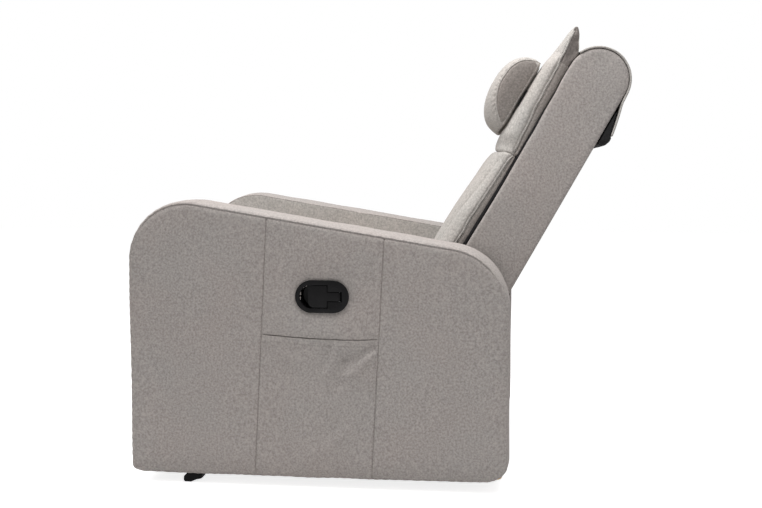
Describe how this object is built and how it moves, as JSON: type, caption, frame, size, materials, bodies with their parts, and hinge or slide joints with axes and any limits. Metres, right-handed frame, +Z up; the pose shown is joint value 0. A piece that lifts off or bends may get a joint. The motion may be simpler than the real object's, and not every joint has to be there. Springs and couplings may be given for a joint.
{
  "type": "recliner armchair",
  "caption": "Upholstered recliner armchair with a pull handle, scissor footrest, leaning back on a gliding seat and a hooked-on padded overlay with head pillow.",
  "frame": {"origin": "on the floor, in the middle of the chair's footprint at rest", "axes": "+Z up; the sitter faces -Y; +X is the sitter's left, the side of the pull handle"},
  "size_m": [0.76, 1.0852, 1.0038],
  "materials": {
    "side_cloth": "fine woven",
    "top_cloth": "fine woven",
    "black_plastic": "glossy moulded",
    "matte_black": "matt moulded",
    "black_webbing": "woven tape",
    "black_steel": "powder coat",
    "zinc_steel": "zinc plated",
    "plywood": "raw"
  },
  "bodies": {
    "base": {"arm_left_front_panel": "side_cloth", "arm_left_middle_panel": "side_cloth", "arm_left_rear_panel": "side_cloth", "arm_left_boxing": "top_cloth", "arm_left_inner_panel": "side_cloth", "arm_left_frame": "plywood", "arm_right_front_panel": "side_cloth", "arm_right_middle_panel": "side_cloth", "arm_right_rear_panel": "side_cloth", "arm_right_boxing": "top_cloth", "arm_right_inner_panel": "side_cloth", "arm_right_frame": "plywood", "side_pocket": "side_cloth", "handle_bezel": "black_plastic", "paddle_pin": "zinc_steel", "paddle_spring": "zinc_steel", "release_cable": "matte_black", "front_cross_rail": "black_steel", "rear_cross_rail": "black_steel", "front_feet": "matte_black", "rear_feet": "matte_black", "base_plate_left": "black_steel", "base_plate_right": "black_steel", "base_bolts": "zinc_steel"},
    "handle": {"handle_paddle": "black_plastic"},
    "latch": {"latch_pawl": "zinc_steel"},
    "seat": {"seat_plate_left": "black_steel", "seat_plate_right": "black_steel", "seat_guide_studs": "zinc_steel", "seat_front_rail": "plywood", "seat_rear_rail": "plywood", "seat_springs": "zinc_steel", "seat_cushion": "top_cloth"},
    "links_a1": {"drive_tube": "black_steel", "link_a1_left": "black_steel", "link_a1_right": "black_steel"},
    "links_a2": {"link_a2_left": "black_steel", "link_a2_right": "black_steel"},
    "links_b1": {"link_b1_left": "black_steel", "link_b1_right": "black_steel"},
    "links_b2": {"link_b2_left": "black_steel", "link_b2_right": "black_steel"},
    "footrest": {"footrest_bracket_left": "black_steel", "footrest_bracket_right": "black_steel", "footrest_board": "plywood", "footrest_pad": "side_cloth"},
    "back": {"back_frame": "plywood", "back_side_left": "side_cloth", "back_side_right": "side_cloth", "back_wrap": "side_cloth", "back_webbing": "black_webbing", "back_bracket_left": "black_steel", "back_bracket_right": "black_steel", "back_cushion_lumbar": "top_cloth", "back_cushion_upper": "top_cloth", "head_flap": "top_cloth", "flap_weight": "black_webbing"},
    "pillow": {"head_pillow": "top_cloth", "pillow_strap": "black_webbing"}
  },
  "joints": [
    {"name": "back_recline", "type": "hinge", "parent": "seat", "child": "back", "pos_m": [0, 0.13242, 0.32466], "axis": [-1, 0, 0], "range_deg": [0, 32], "stiffness_Nm_per_rad": 60, "springref_deg": -40.11},
    {"name": "seat_glide", "type": "slide", "parent": "base", "child": "seat", "axis": [0, -0.9848, 0.1736], "range_m": [0, 0.06]},
    {"name": "footrest_extend", "type": "hinge", "parent": "seat", "child": "links_a1", "pos_m": [0, -0.39, 0.315], "axis": [-1, 0, 0], "range_deg": [0, 65]},
    {"name": "link_a2_turn", "type": "hinge", "parent": "links_a1", "child": "links_a2", "pos_m": [0, -0.40823, 0.2116], "axis": [1, 0, 0], "range_deg": [0, 130]},
    {"name": "link_b2_turn", "type": "hinge", "parent": "links_a1", "child": "links_b2", "pos_m": [0, -0.42647, 0.10819], "axis": [1, 0, 0], "range_deg": [0, 130]},
    {"name": "link_b1_turn", "type": "hinge", "parent": "links_a2", "child": "links_b1", "pos_m": [0, -0.42647, 0.315], "axis": [-1, 0, 0], "range_deg": [0, 130]},
    {"name": "footrest_turn", "type": "hinge", "parent": "links_b2", "child": "footrest", "pos_m": [0, -0.46293, 0.315], "axis": [-1, 0, 0], "range_deg": [0, 150]},
    {"name": "handle_pull", "type": "hinge", "parent": "base", "child": "handle", "pos_m": [0.371, -0.071, 0.421], "axis": [0, 0, 1], "range_deg": [0, 30], "stiffness_Nm_per_rad": 0.2, "springref_deg": -28.65},
    {"name": "latch_release", "type": "hinge", "parent": "base", "child": "latch", "pos_m": [0.238, -0.09, 0.25], "axis": [1, 0, 0], "range_deg": [0, 18]},
    {"name": "pillow_height", "type": "slide", "parent": "back", "child": "pillow", "axis": [0, 0.515, 0.8572], "range_m": [-0.02, 0.06]}
  ],
  "couplings": [
    {"joint": "seat_glide", "follows": "back_recline", "m_per_rad": 0.1074},
    {"joint": "link_a2_turn", "follows": "footrest_extend", "ratio": 2},
    {"joint": "link_b2_turn", "follows": "footrest_extend", "ratio": 2},
    {"joint": "link_b1_turn", "follows": "footrest_extend", "ratio": 2},
    {"joint": "footrest_turn", "follows": "footrest_extend", "ratio": 2.3076},
    {"joint": "latch_release", "follows": "handle_pull", "ratio": 0.6}
  ]
}
